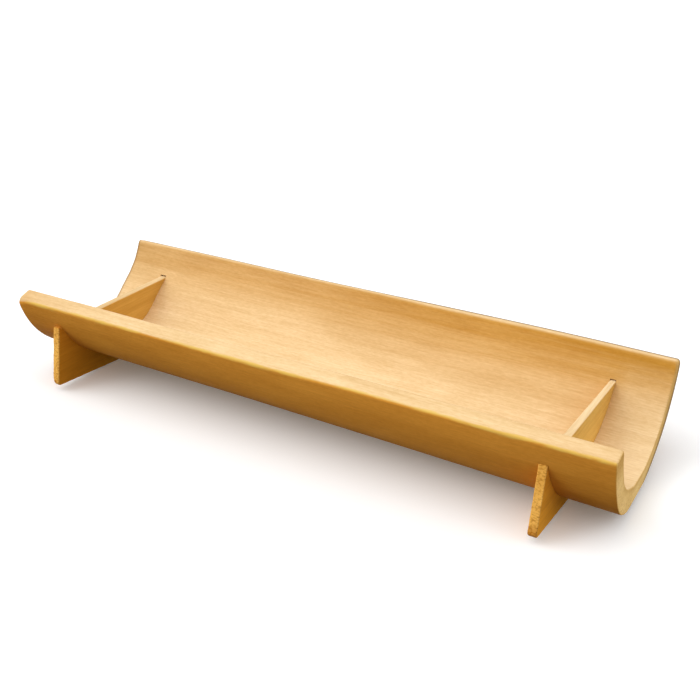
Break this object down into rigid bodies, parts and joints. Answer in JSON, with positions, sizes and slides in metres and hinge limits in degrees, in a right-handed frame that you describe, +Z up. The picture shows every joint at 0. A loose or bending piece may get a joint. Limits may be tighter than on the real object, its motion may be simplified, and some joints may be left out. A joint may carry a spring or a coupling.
{
  "type": "half bamboo plate",
  "caption": "Serving plate made from a bamboo culm split lengthwise into an open trough, standing on upright foot boards pushed into slots sawn across its belly.",
  "frame": {"origin": "on the table, under the middle of the trough", "axes": "+X along the trough towards its wide end, +Y towards the back rim, +Z up"},
  "size_m": [0.25, 0.0862, 0.0384],
  "materials": {
    "culm_bamboo": "scraped and lightly oiled bamboo with fine lengthwise fibre, satin",
    "board_bamboo": "sanded bamboo strip with open, speckled end grain, matt"
  },
  "bodies": {
    "root": {"bamboo_trough": "culm_bamboo", "left_foot": "board_bamboo", "right_foot": "board_bamboo"}
  },
  "joints": []
}
